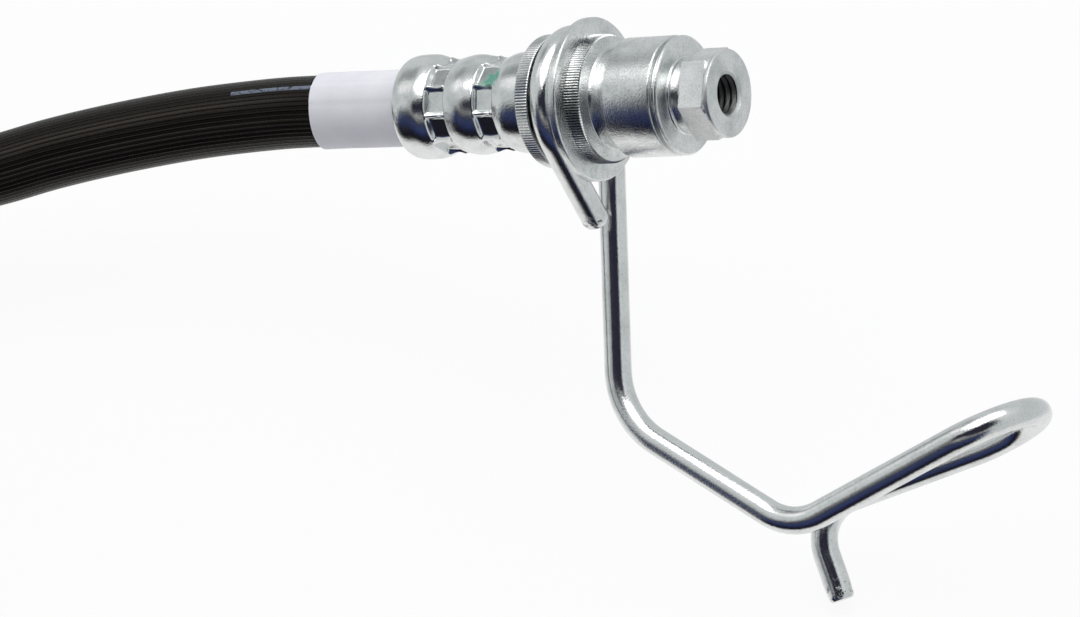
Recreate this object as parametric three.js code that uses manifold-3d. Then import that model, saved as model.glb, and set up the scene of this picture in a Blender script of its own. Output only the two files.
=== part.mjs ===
// Brake line: the bracket end of a flexible brake hose, its crimped ferrule, threaded port
// fitting and spring wire bracket, with the rest of the hose laid in one neat loop.
// Millimetres, +Z up. The wire bracket's cut end and the hose loop stand on z = 0.
import * as THREE from 'three';
import { mergeVertices } from 'three/addons/utils/BufferGeometryUtils.js';
import Module from 'manifold-3d';

const wasm = await Module();
wasm.setup();

// Clearances
const GAP = 0.3;
const GROOVE_PLAY = 0.45;
const TIE_PLAY = 0.35;

// Hose
const HOSE_DIAMETER = 10.5;
const HOSE_SIDES = 12;
const HOSE_STEPS = 46;
const STEM_DIAMETER = 3.4;
const STEM_BORE = 1.8;

// Crimped ferrule, measured along the fitting's axis from the middle of the bracket groove
const FERRULE_MOUTH = -27.2;
const FERRULE_LENGTH = 22.35;
const FERRULE_DIAMETER = 15.1;
const FERRULE_LIP_ROUND = 1.9;
const HOSE_SEAT_DEPTH = 17;
const CRIMP_DIAMETER = 12.9;
const CRIMP_FLAT = 12.1;
const CRIMP_WIDTH = 2.9;
const CRIMP_JAWS = 10;
const CRIMP_JAW_FACE = 3.3;
const CRIMP_PLACES = [7.25, 15.45];
const CRIMP_FLANK = 3.1;
const CRIMP_TURN = 15;

// Paper label band
const LABEL_LENGTH = 14.6;
const LABEL_THICKNESS = 0.2;
const LABEL_PLAY = 0.4;

// Port fitting
const WIRE_DIAMETER = 3.9;
const COLLAR_DIAMETER = 18.9;
const COLLAR_WIDTH = 2.2;
const GROOVE_DIAMETER = 12.8;
const FLANGE_DIAMETER = 23.1;
const FLANGE_WIDTH = 1.25;
const SERRATION_DIAMETER = 18.2;
const SERRATION_WIDTH = 2.2;
const SERRATION_CHAMFER = 0.4;
const NECK_DIAMETER = 14;
const NECK_WIDTH = 3.4;
const BODY_DIAMETER = 16.8;
const BODY_LENGTH = 7.6;
const CLIP_GROOVE_DIAMETER = 15;
const CLIP_GROOVE_WIDTH = 0.75;
const DISC_DIAMETER = 16.7;
const DISC_WIDTH = 0.5;
const DISC_CHAMFER = 0.25;
const BOSS_DIAMETER = 11.2;
const BOSS_WIDTH = 0.35;
const HEX_NECK_DIAMETER = 10.2;
const HEX_NECK_WIDTH = 1.35;
const HEX_FLATS = 11.4;
const HEX_WIDTH = 4.5;
const HEX_TURN = 48.7;
const NOSE_DIAMETER = 12.3;
const NOSE_WIDTH = 0.6;
const NOSE_CHAMFER = 0.15;
const PORT_DIAMETER = 5.5;
const PORT_CHAMFER_DIAMETER = 6.7;
const PORT_DEPTH = 11;
const SEAT_DIAMETER = 3.6;
const SEAT_HEIGHT = 1.6;

// Wire bracket, in the fitting's frame: x toward the nose, y away from the leg, z to the front
const TAIL_START = 45;
const LEG_BEND = { x: 0.95, y: -45.0, radius: 11.8 };
const ARM_BEND = { x: 29.05, y: -60.3, radius: 8.9 };
const ARM_RISE = 26;
const ARM_LENGTH = 27.9;
const HAIRPIN_WIDTH = 17;
const HAIRPIN_TILT = 0.6;
const HAIRPIN_TURN = 182.9;
const RETURN_LEAD = 3;
const RETURN_SWING = 7.1;
const RETURN_BEND_RADIUS = 35;
const RETURN_LENGTH = 29.1;
const FOOT_BEND_RADIUS = 6.4;
const FOOT_LENGTH = 13.2;
const FOOT_ANGLE = 19.8;
const FOOT_DIP = 2.3;
const UPPER_TAIL_LENGTH = 15.4;
const WIRE_SIDES = 12;
const WIRE_STEPS = 92;

// How the fitting is held: the middle of the bracket groove, and the turns of its axis
const FITTING_PLACE = [-19.47, 18.69, 51.2];
const FITTING_HEADING = -22.13;
const FITTING_RISE = 25.15;
const FITTING_ROLL = 45.24;

// Far end
const FAR_FERRULE_DIAMETER = 14.2;
const FAR_FERRULE_LENGTH = 20;
const FAR_SEAT_DEPTH = 14;
const FAR_LIP_ROUND = 0.7;
const FAR_END_ROUND = 1.2;
const FAR_CRIMP_PLACES = [6.5, 11.5];
const FAR_CRIMP_WIDTH = 2;
const FAR_CRIMP_FLANK = 1.5;
const FAR_CRIMP_DEPTH = 0.8;
const BANJO_STEM_DIAMETER = 8.4;
const BANJO_STEM_LENGTH = 8;
const BANJO_EYE_DIAMETER = 19;
const BANJO_EYE_THICKNESS = 10.4;
const BANJO_BORE = 10.2;
const TIE_THICKNESS = 0.7;
const TIE_WIDTH = 3;
const TIE_ROUND = 4;
const TIE_BOTTOM = 0.1;
const TIE_TOP = 24.7;
const TIE_PLACE = [-128.83, 27.5];
const TIE_HEADING = 53.2;
const ROUND_SEGMENTS = 48;

const rad = THREE.MathUtils.degToRad;
const hoseRadius = HOSE_DIAMETER / 2;
const wireRadius = WIRE_DIAMETER / 2;
const loopRadius = GROOVE_DIAMETER / 2 + GAP + wireRadius;

function metal(color, roughness) {
  return new THREE.MeshStandardMaterial({ color, roughness, metalness: 1 });
}

const platedSteel = metal(0xc9ccce, 0.3);
const platedWire = metal(0xbfc2c4, 0.35);
const blackRubber = new THREE.MeshStandardMaterial({ color: 0x17151a, roughness: 0.6, metalness: 0 });
const whitePaper = new THREE.MeshStandardMaterial({ color: 0xeeeef2, roughness: 0.75, metalness: 0 });
const whiteNylon = new THREE.MeshStandardMaterial({ color: 0xe6e6e0, roughness: 0.5, metalness: 0 });

// Solids for cutting and joining

function toSolid(geometry) {
  const bare = geometry.clone();
  bare.deleteAttribute('normal');
  bare.deleteAttribute('uv');
  const merged = mergeVertices(bare, 1e-4);
  return new wasm.Manifold(new wasm.Mesh({
    numProp: 3,
    vertProperties: new Float32Array(merged.attributes.position.array),
    triVerts: new Uint32Array(merged.index.array),
  }));
}

function toGeometry(solid) {
  const mesh = solid.getMesh();
  const geometry = new THREE.BufferGeometry();
  geometry.setAttribute('position', new THREE.BufferAttribute(new Float32Array(mesh.vertProperties), 3));
  geometry.setIndex(new THREE.BufferAttribute(new Uint32Array(mesh.triVerts), 1));
  geometry.computeVertexNormals();
  return geometry;
}

// A turned form about +X, from a profile of [place along x, radius] pairs that runs from -x to +x
function turned(profile, segments = ROUND_SEGMENTS) {
  const points = profile.map(([along, radius]) => new THREE.Vector2(radius, along));
  const geometry = new THREE.LatheGeometry(points, segments);
  geometry.rotateZ(-Math.PI / 2);
  return geometry;
}

function turnedSolid(profile, segments) {
  return toSolid(turned(profile, segments));
}

function addPiece(group, name, geometry, material) {
  const mesh = new THREE.Mesh(geometry, material);
  mesh.name = name;
  group.add(mesh);
  return mesh;
}

// Curves for wire and hose

class Arc3 extends THREE.Curve {
  constructor(centre, start, axis, angle) {
    super();
    this.centre = centre;
    this.start = start;
    this.axis = axis;
    this.angle = angle;
  }

  getPoint(t, target = new THREE.Vector3()) {
    return target.copy(this.start).applyAxisAngle(this.axis, this.angle * t).add(this.centre);
  }
}

// The arc that rounds a corner between two straight runs, with its two tangent points
function cornerArc(before, corner, after, radius) {
  const incoming = corner.clone().sub(before).normalize();
  const outgoing = after.clone().sub(corner).normalize();
  const turn = incoming.angleTo(outgoing);
  const setback = radius * Math.tan(turn / 2);
  const axis = incoming.clone().cross(outgoing).normalize();
  const inward = axis.clone().cross(incoming);
  const first = corner.clone().addScaledVector(incoming, -setback);
  const last = corner.clone().addScaledVector(outgoing, setback);
  const centre = first.clone().addScaledVector(inward, radius);
  return { first, last, arc: new Arc3(centre, first.clone().sub(centre), axis, turn) };
}

function circleShape(radius, sides) {
  const shape = new THREE.Shape();
  for (let i = 0; i < sides; i += 1) {
    const angle = (2 * Math.PI * i) / sides;
    const x = radius * Math.cos(angle);
    const y = radius * Math.sin(angle);
    if (i === 0) {
      shape.moveTo(x, y);
    } else {
      shape.lineTo(x, y);
    }
  }
  shape.closePath();
  return shape;
}

function sweep(shape, path, steps) {
  return new THREE.ExtrudeGeometry(shape, { steps, bevelEnabled: false, extrudePath: path });
}

// Port fitting: collar, bracket groove, flange, serrations, body, clip groove, disc, hex and nose

const wireSpace = wireRadius + GROOVE_PLAY;
const ferruleEnd = FERRULE_MOUTH + FERRULE_LENGTH;
const hoseSeat = FERRULE_MOUTH + HOSE_SEAT_DEPTH;
const collarStart = ferruleEnd + GAP;
const flangeEnd = wireSpace + FLANGE_WIDTH;
const serrationEnd = flangeEnd + SERRATION_WIDTH;
const neckEnd = serrationEnd + NECK_WIDTH;
const bodyEnd = neckEnd + BODY_LENGTH;
const discStart = bodyEnd + CLIP_GROOVE_WIDTH;
const discEnd = discStart + DISC_WIDTH;
const bossEnd = discEnd + BOSS_WIDTH;
const hexStart = bossEnd + HEX_NECK_WIDTH;
const hexEnd = hexStart + HEX_WIDTH;
const noseEnd = hexEnd + NOSE_WIDTH;
const portFloor = noseEnd - PORT_DEPTH;
const stemTip = FERRULE_MOUTH + 1.5;
const shankRadius = hoseRadius - 0.1;

function makePortFitting() {
  const outside = turnedSolid([
    [stemTip, 0],
    [stemTip, STEM_DIAMETER / 2],
    [hoseSeat + GAP, STEM_DIAMETER / 2],
    [hoseSeat + GAP, shankRadius],
    [collarStart, shankRadius],
    [collarStart, COLLAR_DIAMETER / 2 - 0.25],
    [collarStart + 0.25, COLLAR_DIAMETER / 2],
    [collarStart + COLLAR_WIDTH - 0.15, COLLAR_DIAMETER / 2],
    [-wireSpace, COLLAR_DIAMETER / 2 - 0.15],
    [-wireSpace, GROOVE_DIAMETER / 2],
    [wireSpace, GROOVE_DIAMETER / 2],
    [wireSpace, FLANGE_DIAMETER / 2 - 0.2],
    [wireSpace + 0.2, FLANGE_DIAMETER / 2],
    [flangeEnd - 0.2, FLANGE_DIAMETER / 2],
    [flangeEnd, FLANGE_DIAMETER / 2 - 0.2],
    [flangeEnd, SERRATION_DIAMETER / 2],
    [serrationEnd - SERRATION_CHAMFER, SERRATION_DIAMETER / 2],
    [serrationEnd, SERRATION_DIAMETER / 2 - SERRATION_CHAMFER],
    [serrationEnd + 0.5, NECK_DIAMETER / 2 + 0.15],
    [serrationEnd + 0.9, NECK_DIAMETER / 2],
    [neckEnd, NECK_DIAMETER / 2],
    [neckEnd, BODY_DIAMETER / 2 - 0.2],
    [neckEnd + 0.2, BODY_DIAMETER / 2],
    [bodyEnd - 0.2, BODY_DIAMETER / 2],
    [bodyEnd, BODY_DIAMETER / 2 - 0.15],
    [bodyEnd, CLIP_GROOVE_DIAMETER / 2],
    [discStart, CLIP_GROOVE_DIAMETER / 2],
    [discStart, DISC_DIAMETER / 2],
    [discEnd - DISC_CHAMFER, DISC_DIAMETER / 2],
    [discEnd, DISC_DIAMETER / 2 - DISC_CHAMFER],
    [discEnd, BOSS_DIAMETER / 2],
    [bossEnd - 0.15, BOSS_DIAMETER / 2],
    [bossEnd, BOSS_DIAMETER / 2 - 0.15],
    [bossEnd, HEX_NECK_DIAMETER / 2],
    [hexStart + 0.2, HEX_NECK_DIAMETER / 2],
    [hexStart + 0.2, 0],
  ]);
  const cornerRadius = HEX_FLATS / Math.sqrt(3);
  const hexPrism = new THREE.CylinderGeometry(cornerRadius, cornerRadius, HEX_WIDTH, 6);
  hexPrism.rotateY(Math.PI);
  hexPrism.rotateZ(-Math.PI / 2);
  hexPrism.rotateX(rad(HEX_TURN) + Math.PI / 2);
  hexPrism.translate((hexStart + hexEnd) / 2, 0, 0);
  const cornerRound = turnedSolid([
    [hexStart, 0],
    [hexStart, HEX_NECK_DIAMETER / 2 + 0.35],
    [hexStart + 0.5, cornerRadius],
    [hexEnd - 0.4, cornerRadius],
    [hexEnd, HEX_FLATS / 2 + 0.3],
    [hexEnd, 0],
  ]);
  const nose = turnedSolid([
    [hexEnd - 0.3, 0],
    [hexEnd - 0.3, HEX_FLATS / 2 - 0.3],
    [hexEnd + 0.1, HEX_FLATS / 2 - 0.3],
    [hexEnd + 0.1, NOSE_DIAMETER / 2],
    [noseEnd - NOSE_CHAMFER, NOSE_DIAMETER / 2],
    [noseEnd, NOSE_DIAMETER / 2 - NOSE_CHAMFER],
    [noseEnd, 0],
  ]);
  const port = turnedSolid([
    [stemTip - 1, 0],
    [stemTip - 1, STEM_BORE / 2],
    [portFloor + SEAT_HEIGHT, STEM_BORE / 2],
    [portFloor, SEAT_DIAMETER / 2],
    [portFloor, PORT_DIAMETER / 2],
    [noseEnd - (PORT_CHAMFER_DIAMETER - PORT_DIAMETER) / 2, PORT_DIAMETER / 2],
    [noseEnd, PORT_CHAMFER_DIAMETER / 2],
    [noseEnd + 1, PORT_CHAMFER_DIAMETER / 2],
    [noseEnd + 1, 0],
  ]);
  return toGeometry(outside.add(toSolid(hexPrism).intersect(cornerRound)).add(nose).subtract(port));
}

// Ferrule: a turned cup drawn in by two rows of crimping jaws

function makeFerrule() {
  const outer = FERRULE_DIAMETER / 2;
  const crimp = CRIMP_DIAMETER / 2;
  const boreRadius = hoseRadius + GAP;
  const shankBore = shankRadius + GAP;
  const [first, second] = CRIMP_PLACES.map((place) => FERRULE_MOUTH + place);
  const endRadius = 7.3;
  const body = turnedSolid([
    [hoseSeat, shankBore],
    [hoseSeat, boreRadius],
    [FERRULE_MOUTH + 0.4, boreRadius],
    [FERRULE_MOUTH, boreRadius + 0.3],
    [FERRULE_MOUTH, outer - FERRULE_LIP_ROUND + 0.5],
    [FERRULE_MOUTH + 0.35, outer - 0.75],
    [FERRULE_MOUTH + 1.0, outer - 0.25],
    [FERRULE_MOUTH + FERRULE_LIP_ROUND, outer],
    [first - CRIMP_FLANK, outer - 0.1],
    [first - CRIMP_FLANK / 2, outer - 0.65],
    [first, crimp],
    [first + CRIMP_FLANK / 2, crimp + 0.35],
    [(first + second) / 2, outer - 0.36],
    [second - CRIMP_FLANK / 2, crimp + 0.3],
    [second, crimp - 0.1],
    [second + CRIMP_FLANK / 2, crimp + 0.35],
    [second + CRIMP_FLANK, endRadius - 0.15],
    [ferruleEnd, endRadius],
    [ferruleEnd, shankBore],
    [hoseSeat, shankBore],
  ]);
  let crimped = body;
  for (const place of [first, second]) {
    for (let jaw = 0; jaw < CRIMP_JAWS; jaw += 1) {
      const block = new THREE.BoxGeometry(CRIMP_WIDTH, 4, CRIMP_JAW_FACE);
      block.translate(place, CRIMP_FLAT / 2 + 2, 0);
      block.rotateX(rad(CRIMP_TURN + (360 * jaw) / CRIMP_JAWS));
      crimped = crimped.subtract(toSolid(block));
    }
  }
  return toGeometry(crimped);
}

// Wire bracket: upper tail, three-quarter loop in the groove, leg, arm, hairpin, return and foot

function makeWireBracket() {
  const tailAngle = rad(TAIL_START);
  const tangent = new THREE.Vector3(0, -Math.cos(tailAngle), -Math.sin(tailAngle));
  const loopStart = new THREE.Vector3(0, -Math.sin(tailAngle), Math.cos(tailAngle));
  loopStart.multiplyScalar(loopRadius);
  const tailEnd = loopStart.clone().addScaledVector(tangent, UPPER_TAIL_LENGTH);
  const loopAxis = new THREE.Vector3(-1, 0, 0);
  const loop = new Arc3(new THREE.Vector3(), loopStart.clone(), loopAxis, tailAngle + Math.PI);
  const legTop = new THREE.Vector3(0, 0, -loopRadius);
  const legBend = new THREE.Vector3(LEG_BEND.x, LEG_BEND.y, -loopRadius);
  const armBend = new THREE.Vector3(ARM_BEND.x, ARM_BEND.y, -loopRadius);
  const armWay = new THREE.Vector3(Math.cos(rad(ARM_RISE)), Math.sin(rad(ARM_RISE)), 0);
  const armEnd = armBend.clone().addScaledVector(armWay, ARM_LENGTH);
  const armSide = new THREE.Vector3(0, 0, 1).cross(armWay);
  const across = new THREE.Vector3(0, 0, -Math.cos(rad(HAIRPIN_TILT)));
  across.addScaledVector(armSide, Math.sin(rad(HAIRPIN_TILT)));
  const hairpinCentre = armEnd.clone().addScaledVector(across, HAIRPIN_WIDTH / 2);
  const hairpinAxis = armWay.clone().cross(across).normalize();
  const hairpin = new Arc3(hairpinCentre, armEnd.clone().sub(hairpinCentre), hairpinAxis, rad(HAIRPIN_TURN));
  const hairpinEnd = hairpin.getPoint(1);
  const leadWay = armWay.clone().applyAxisAngle(hairpinAxis, rad(HAIRPIN_TURN));
  const returnBend = hairpinEnd.clone().addScaledVector(leadWay, RETURN_LEAD);
  const returnWay = leadWay.clone().applyAxisAngle(across, rad(RETURN_SWING));
  const footBend = returnBend.clone().addScaledVector(returnWay, RETURN_LENGTH);
  const footAngle = rad(FOOT_ANGLE);
  const footWay = new THREE.Vector3(Math.sin(footAngle), -Math.cos(footAngle), -Math.tan(rad(FOOT_DIP)));
  const footEnd = footBend.clone().addScaledVector(footWay.normalize(), FOOT_LENGTH);

  const legCorner = cornerArc(legTop, legBend, armBend, LEG_BEND.radius);
  const armCorner = cornerArc(legBend, armBend, armEnd, ARM_BEND.radius);
  const returnCorner = cornerArc(hairpinEnd, returnBend, footBend, RETURN_BEND_RADIUS);
  const footCorner = cornerArc(returnBend, footBend, footEnd, FOOT_BEND_RADIUS);
  const path = new THREE.CurvePath();
  path.add(new THREE.LineCurve3(tailEnd, loopStart));
  path.add(loop);
  path.add(new THREE.LineCurve3(legTop, legCorner.first));
  path.add(legCorner.arc);
  path.add(new THREE.LineCurve3(legCorner.last, armCorner.first));
  path.add(armCorner.arc);
  path.add(new THREE.LineCurve3(armCorner.last, armEnd));
  path.add(hairpin);
  path.add(new THREE.LineCurve3(hairpinEnd, returnCorner.first));
  path.add(returnCorner.arc);
  path.add(new THREE.LineCurve3(returnCorner.last, footCorner.first));
  path.add(footCorner.arc);
  path.add(new THREE.LineCurve3(footCorner.last, footEnd));
  return sweep(circleShape(wireRadius, WIRE_SIDES), path, WIRE_STEPS);
}

// Hose route: out of the ferrule, sagging to the floor, once round a loop and under itself

const holder = new THREE.Group();
holder.position.set(...FITTING_PLACE);
holder.rotation.set(rad(FITTING_ROLL), -rad(FITTING_RISE), rad(FITTING_HEADING), 'ZYX');
holder.updateMatrixWorld(true);

function onAxis(along) {
  return new THREE.Vector3(along, 0, 0).applyMatrix4(holder.matrixWorld);
}

const LOOP_CENTRE = [-173.43, -32.2];
const LOOP_RADIUS = 52.5;
const LOOP_START = 98.4;
const LOOP_STEP = 18;
const LOOP_STEPS = 15;
const LOOP_HEIGHTS = [9.2, 7.7, 6.5, 5.7];
const FLOOR_HEIGHT = hoseRadius + 0.15;
const RUN_OUT = [
  [-47.93, 30.0, 37.1],
  [-52.33, 31.3, 35.5],
  [-56.83, 32.4, 34.0],
  [-61.23, 33.2, 32.8],
  [-67.23, 33.8, 31.3],
  [-74.63, 34.1, 29.6],
  [-82.13, 33.9, 27.9],
  [-89.53, 33.3, 26.3],
  [-97.03, 32.4, 24.6],
  [-104.53, 31.1, 22.8],
  [-116.43, 29.4, 20.4],
  [-128.93, 27.5, 17.9],
  [-144.43, 25.2, 14.9],
  [-159.43, 23.0, 12.4],
  [-170.63, 21.2, 10.7],
];
const RUN_IN = [
  [-123.73, -9.0, 5.45],
  [-125.93, 6.8, 5.8],
  [-127.63, 18.7, 6.3],
  [-129.33, 30.6, 6.8],
];
const FAR_AXIS_HEIGHT = FAR_FERRULE_DIAMETER / 2 + 0.1;
const FAR_HEADING = 98;
const FAR_MOUTH = [-130.63, 40.5];

const farWay = new THREE.Vector3(Math.cos(rad(FAR_HEADING)), Math.sin(rad(FAR_HEADING)), 0);
const farMouth = new THREE.Vector3(...FAR_MOUTH, FAR_AXIS_HEIGHT);

function hoseRoute() {
  const points = [hoseSeat, hoseSeat - 6, FERRULE_MOUTH + 5, FERRULE_MOUTH - 1].map(onAxis);
  RUN_OUT.forEach((place) => points.push(new THREE.Vector3(...place)));
  for (let i = 0; i <= LOOP_STEPS; i += 1) {
    const angle = rad(LOOP_START + i * LOOP_STEP);
    points.push(new THREE.Vector3(
      LOOP_CENTRE[0] + LOOP_RADIUS * Math.cos(angle),
      LOOP_CENTRE[1] + LOOP_RADIUS * Math.sin(angle),
      i < LOOP_HEIGHTS.length ? LOOP_HEIGHTS[i] : FLOOR_HEIGHT,
    ));
  }
  RUN_IN.forEach((place) => points.push(new THREE.Vector3(...place)));
  points.push(farMouth.clone().addScaledVector(farWay, -2));
  points.push(farMouth.clone().addScaledVector(farWay, FAR_SEAT_DEPTH / 2));
  points.push(farMouth.clone().addScaledVector(farWay, FAR_SEAT_DEPTH - GAP));
  const curve = new THREE.CatmullRomCurve3(points, false, 'centripetal');
  curve.arcLengthDivisions = 2000;
  return curve;
}

const route = hoseRoute();

function makeHose() {
  const tube = toSolid(sweep(circleShape(hoseRadius, HOSE_SIDES), route, HOSE_STEPS));
  const nearStem = turned([
    [FERRULE_MOUTH, 0],
    [FERRULE_MOUTH, STEM_DIAMETER / 2 + GAP],
    [hoseSeat + 2, STEM_DIAMETER / 2 + GAP],
    [hoseSeat + 2, 0],
  ], 16);
  nearStem.applyMatrix4(holder.matrixWorld);
  const farStem = turned([
    [1, 0],
    [1, STEM_DIAMETER / 2 + GAP],
    [FAR_SEAT_DEPTH + 2, STEM_DIAMETER / 2 + GAP],
    [FAR_SEAT_DEPTH + 2, 0],
  ], 16);
  farStem.rotateZ(rad(FAR_HEADING));
  farStem.translate(farMouth.x, farMouth.y, farMouth.z);
  return toGeometry(tube.subtract(toSolid(nearStem)).subtract(toSolid(farStem)));
}

// Label: a paper band round the hose, from the ferrule's mouth outward

function makeLabel() {
  const inner = hoseRadius + LABEL_PLAY;
  const band = circleShape(inner + LABEL_THICKNESS, 24);
  band.holes.push(circleShape(inner, 24));
  const length = route.getLength();
  const start = (HOSE_SEAT_DEPTH + LABEL_PLAY) / length;
  const points = [];
  for (let i = 0; i <= 8; i += 1) {
    points.push(route.getPointAt(start + (LABEL_LENGTH * i) / (8 * length)));
  }
  return sweep(band, new THREE.CatmullRomCurve3(points, false, 'centripetal'), 8);
}

// Far end: its own crimped ferrule and a banjo eye that lies flat

function makeFarFerrule() {
  const outer = FAR_FERRULE_DIAMETER / 2;
  const boreRadius = hoseRadius + GAP;
  const stemBore = BANJO_STEM_DIAMETER / 2 + GAP;
  const halfCrimp = FAR_CRIMP_WIDTH / 2;
  const [first, second] = FAR_CRIMP_PLACES;
  return turned([
    [FAR_SEAT_DEPTH, stemBore],
    [FAR_SEAT_DEPTH, boreRadius],
    [0, boreRadius],
    [0, outer - FAR_LIP_ROUND],
    [FAR_LIP_ROUND, outer],
    [first - halfCrimp - FAR_CRIMP_FLANK, outer],
    [first - halfCrimp, outer - FAR_CRIMP_DEPTH],
    [first + halfCrimp, outer - FAR_CRIMP_DEPTH],
    [(first + second) / 2, outer - 0.1],
    [second - halfCrimp, outer - FAR_CRIMP_DEPTH],
    [second + halfCrimp, outer - FAR_CRIMP_DEPTH],
    [second + halfCrimp + FAR_CRIMP_FLANK, outer - 0.1],
    [FAR_FERRULE_LENGTH - FAR_END_ROUND, outer - 0.1],
    [FAR_FERRULE_LENGTH, outer - FAR_END_ROUND - 0.1],
    [FAR_FERRULE_LENGTH, stemBore],
    [FAR_SEAT_DEPTH, stemBore],
  ], 40);
}

function makeBanjo() {
  const eyeCentre = FAR_FERRULE_LENGTH + BANJO_STEM_LENGTH + BANJO_EYE_DIAMETER / 2 - 1.5;
  const stem = turnedSolid([
    [2, 0],
    [2, STEM_DIAMETER / 2],
    [FAR_SEAT_DEPTH + GAP, STEM_DIAMETER / 2],
    [FAR_SEAT_DEPTH + GAP, BANJO_STEM_DIAMETER / 2],
    [eyeCentre - BANJO_BORE / 2 - 1, BANJO_STEM_DIAMETER / 2],
    [eyeCentre - BANJO_BORE / 2 - 1, 0],
  ], 32);
  const eye = turned([
    [-BANJO_EYE_THICKNESS / 2, BANJO_BORE / 2],
    [-BANJO_EYE_THICKNESS / 2, BANJO_EYE_DIAMETER / 2 - 0.5],
    [-BANJO_EYE_THICKNESS / 2 + 0.5, BANJO_EYE_DIAMETER / 2],
    [BANJO_EYE_THICKNESS / 2 - 0.5, BANJO_EYE_DIAMETER / 2],
    [BANJO_EYE_THICKNESS / 2, BANJO_EYE_DIAMETER / 2 - 0.5],
    [BANJO_EYE_THICKNESS / 2, BANJO_BORE / 2],
    [-BANJO_EYE_THICKNESS / 2, BANJO_BORE / 2],
  ]);
  eye.rotateY(-Math.PI / 2);
  eye.translate(eyeCentre, 0, 0);
  const passage = turned([
    [1, 0],
    [1, STEM_BORE / 2],
    [eyeCentre, STEM_BORE / 2],
    [eyeCentre, 0],
  ], 16);
  return toGeometry(stem.add(toSolid(eye)).subtract(toSolid(passage)));
}

// Tie: a flat strap that holds the two hose runs where one lies on the other

function makeTie() {
  const half = hoseRadius * Math.SQRT2 + TIE_WIDTH / 2 + TIE_PLAY + TIE_THICKNESS;
  const outline = (inset) => {
    const side = half - inset;
    const bottom = TIE_BOTTOM + inset;
    const top = TIE_TOP - inset;
    const round = TIE_ROUND - inset;
    const shape = new THREE.Shape();
    shape.moveTo(-side + round, bottom);
    shape.lineTo(side - round, bottom);
    shape.absarc(side - round, bottom + round, round, -Math.PI / 2, 0);
    shape.lineTo(side, top - round);
    shape.absarc(side - round, top - round, round, 0, Math.PI / 2);
    shape.lineTo(-side + round, top);
    shape.absarc(-side + round, top - round, round, Math.PI / 2, Math.PI);
    shape.lineTo(-side, bottom + round);
    shape.absarc(-side + round, bottom + round, round, Math.PI, 1.5 * Math.PI);
    return shape;
  };
  const strap = outline(0);
  strap.holes.push(outline(TIE_THICKNESS));
  const extrusion = { depth: TIE_WIDTH, bevelEnabled: false, curveSegments: 5 };
  const geometry = new THREE.ExtrudeGeometry(strap, extrusion);
  geometry.translate(0, 0, -TIE_WIDTH / 2);
  geometry.rotateX(Math.PI / 2);
  return geometry;
}

// The whole brake line

const brakeLine = new THREE.Group();
brakeLine.add(holder);
addPiece(holder, 'port_fitting', makePortFitting(), platedSteel);
addPiece(holder, 'crimp_ferrule', makeFerrule(), platedSteel);
addPiece(holder, 'wire_bracket', makeWireBracket(), platedWire);
addPiece(brakeLine, 'hose', makeHose(), blackRubber);
addPiece(brakeLine, 'label_band', makeLabel(), whitePaper);

const farEnd = new THREE.Group();
farEnd.position.copy(farMouth);
farEnd.rotation.z = rad(FAR_HEADING);
brakeLine.add(farEnd);
addPiece(farEnd, 'far_ferrule', makeFarFerrule(), platedSteel);
addPiece(farEnd, 'banjo_fitting', makeBanjo(), platedSteel);

const tie = addPiece(brakeLine, 'hose_tie', makeTie(), whiteNylon);
tie.position.set(...TIE_PLACE, 0);
tie.rotation.z = rad(TIE_HEADING);

export default brakeLine;
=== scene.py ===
"""Brake line: a black ribbed hose with a crimped ferrule, a zinc plated port fitting and a wire bracket."""
import math

import bpy
from mathutils import Matrix, Vector


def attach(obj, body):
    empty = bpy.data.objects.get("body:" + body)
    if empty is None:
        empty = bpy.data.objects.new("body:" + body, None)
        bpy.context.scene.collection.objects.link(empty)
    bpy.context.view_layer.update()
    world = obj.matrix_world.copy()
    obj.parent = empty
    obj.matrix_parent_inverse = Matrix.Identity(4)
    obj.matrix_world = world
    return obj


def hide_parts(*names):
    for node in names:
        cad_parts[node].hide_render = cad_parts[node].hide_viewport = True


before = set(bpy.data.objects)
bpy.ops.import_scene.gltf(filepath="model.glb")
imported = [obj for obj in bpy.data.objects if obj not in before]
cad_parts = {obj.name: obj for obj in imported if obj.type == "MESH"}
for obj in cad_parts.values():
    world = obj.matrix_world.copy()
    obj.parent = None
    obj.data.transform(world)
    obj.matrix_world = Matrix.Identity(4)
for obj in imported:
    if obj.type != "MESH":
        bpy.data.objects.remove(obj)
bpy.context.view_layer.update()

MM = 0.001
TAU = 2.0 * math.pi
LEAST_CORNER = math.radians(14)

# Camera: 50 degrees above the floor, looking along +Y

CAMERA_PLACE = (-24.68, -389.46, 491.97)
CAMERA_TILT = 40.0
CAMERA_LENS = 142.0
CAMERA_SENSOR = 36.0


def add_camera():
    data = bpy.data.cameras.new("camera")
    data.lens = CAMERA_LENS
    data.sensor_width = CAMERA_SENSOR
    data.sensor_fit = "HORIZONTAL"
    camera = bpy.data.objects.new("camera", data)
    camera.location = Vector(CAMERA_PLACE) * MM
    camera.rotation_euler = (math.radians(CAMERA_TILT), 0.0, 0.0)
    bpy.context.scene.collection.objects.link(camera)
    bpy.context.scene.camera = camera


add_camera()

# Sizes shared with the solids, in millimetres

HOSE_RADIUS = 5.25
STEM_RADIUS = 1.7
GAP = 0.3
FITTING_PLACE = (-19.47, 18.69, 51.2)
FITTING_TURNS = (45.24, -25.15, -22.13)
FERRULE_MOUTH = -27.2
HOSE_SEAT_DEPTH = 17.0
FAR_MOUTH = (-130.63, 40.5, 7.2)
FAR_HEADING = 98.0
FAR_SEAT_DEPTH = 14.0
WIRE_RADIUS = 1.95

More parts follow.
